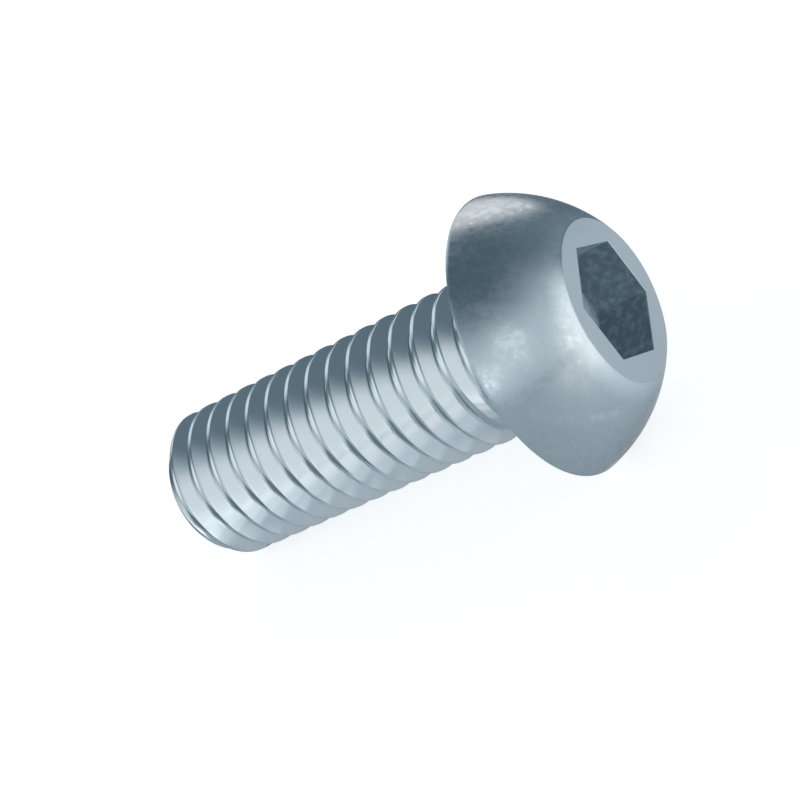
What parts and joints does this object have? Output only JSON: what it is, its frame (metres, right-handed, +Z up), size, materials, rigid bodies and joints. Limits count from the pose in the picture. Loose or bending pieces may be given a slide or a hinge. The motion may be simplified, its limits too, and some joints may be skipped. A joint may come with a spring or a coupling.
{
  "type": "button head socket screw",
  "caption": "Short machine screw with a low domed head, a hexagonal socket in its flat top and a right-hand thread along the shank.",
  "frame": {"origin": "centre of the bounding box's underside: the table that the screw lies on", "axes": "+Z up, +X along the screw as seen from above, from its end towards its head; the head's rim and the last crest touch the table, so the screw's own axis rises 8.56 degrees towards the head"},
  "size_m": [0.0198, 0.0104, 0.0103],
  "materials": {
    "zinc_plated_steel": "bright zinc plating, fine mottled grain"
  },
  "bodies": {
    "root": {"button_head_screw": "zinc_plated_steel"}
  },
  "joints": []
}
